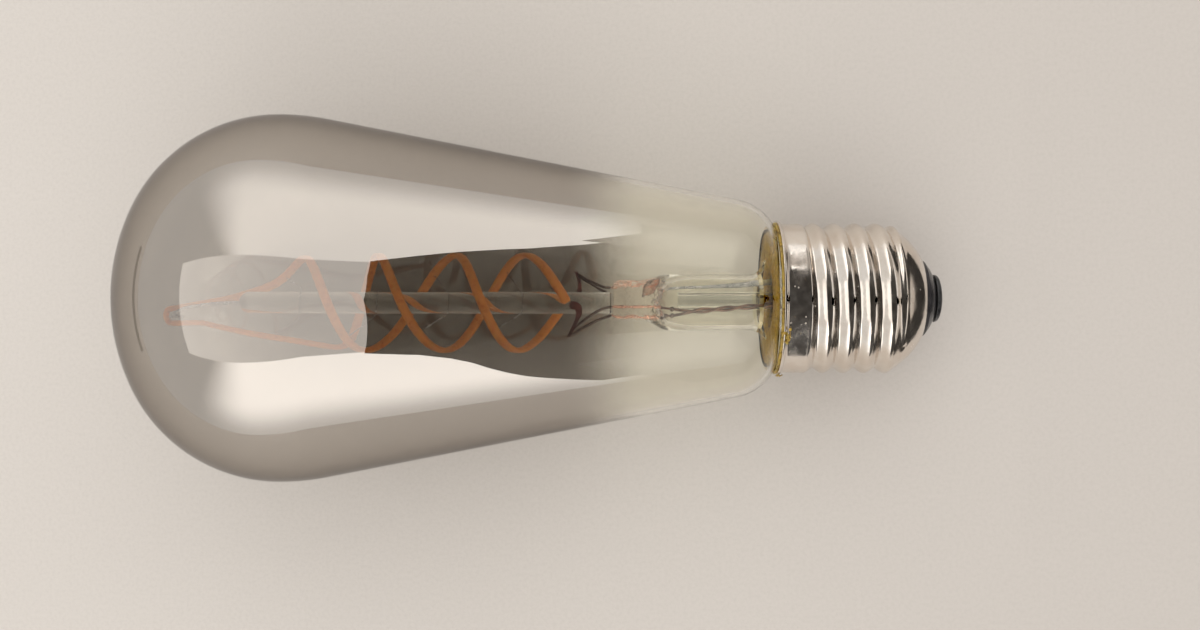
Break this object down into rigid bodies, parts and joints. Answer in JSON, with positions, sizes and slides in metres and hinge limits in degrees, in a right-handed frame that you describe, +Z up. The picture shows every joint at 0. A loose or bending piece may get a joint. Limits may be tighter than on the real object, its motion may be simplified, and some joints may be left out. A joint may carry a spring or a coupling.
{
  "type": "led filament light bulb",
  "caption": "Dead smoke-grey teardrop LED filament bulb on a nickel screw cap, lying on its side; an orange spiral filament and its glass mount show through the coated glass.",
  "frame": {"origin": "centre of the bounding box on the surface that the bulb lies on", "axes": "+Z up, +X from the crown towards the screw cap, +Y across the bulb; the bulb's own axis lies in the XZ plane and drops 10.5 degrees from crown to cap"},
  "size_m": [0.1423, 0.064, 0.0641],
  "materials": {
    "smoked_glass": "clear bulb glass with a smoke-grey semi-mirror coating that fades out before the neck",
    "clear_glass": "clear, slightly yellow",
    "nickel_plate": "bright nickel plate, a little dull on the skirt, small dark nicks",
    "black_insulator": "black, glossy",
    "contact_metal": "tarnished dark",
    "amber_cement": "olive-amber, granular",
    "phosphor_silicone": "orange, matt",
    "dark_wire": "oxidised brown-black",
    "seal_wire": "copper pink",
    "bright_wire": "drawn",
    "brown_wire": "brown oxide",
    "heat_stained_tab": "maroon heat stain",
    "board_green": "solder mask",
    "chip_black": "matt",
    "capacitor_sleeve": "shrink sleeve",
    "resistor_lacquer": "lacquer",
    "wire_insulation": "matt"
  },
  "bodies": {
    "root": {"glass_envelope": "smoked_glass", "stem_flare": "clear_glass", "exhaust_tube": "clear_glass", "glass_post": "clear_glass", "top_hook": "bright_wire", "anchor_wire_1": "bright_wire", "anchor_wire_2": "bright_wire", "anchor_wire_3": "bright_wire", "anchor_wire_4": "bright_wire", "led_filament": "phosphor_silicone", "end_tab_front": "heat_stained_tab", "end_tab_rear": "heat_stained_tab", "tab_link_front": "heat_stained_tab", "tab_link_rear": "heat_stained_tab", "lead_wire_lower": "dark_wire", "lead_wire_upper": "dark_wire", "seal_wire_upper": "seal_wire", "seal_wire_lower_1": "seal_wire", "seal_wire_lower_2": "seal_wire", "weld_tail_1": "seal_wire", "weld_tail_2": "seal_wire", "weld_knot_1": "dark_wire", "weld_knot_2": "dark_wire", "outer_lead_lower_1": "brown_wire", "outer_lead_lower_2": "brown_wire", "outer_lead_upper": "bright_wire", "cement_ring": "amber_cement", "cap_shell": "nickel_plate", "cap_insulator": "black_insulator", "centre_contact": "contact_metal", "driver_board": "board_green", "bridge_rectifier": "chip_black", "driver_chip": "chip_black", "smoothing_capacitor": "capacitor_sleeve", "fusible_resistor": "resistor_lacquer", "contact_wire": "resistor_lacquer", "shell_wire": "wire_insulation"}
  },
  "joints": []
}
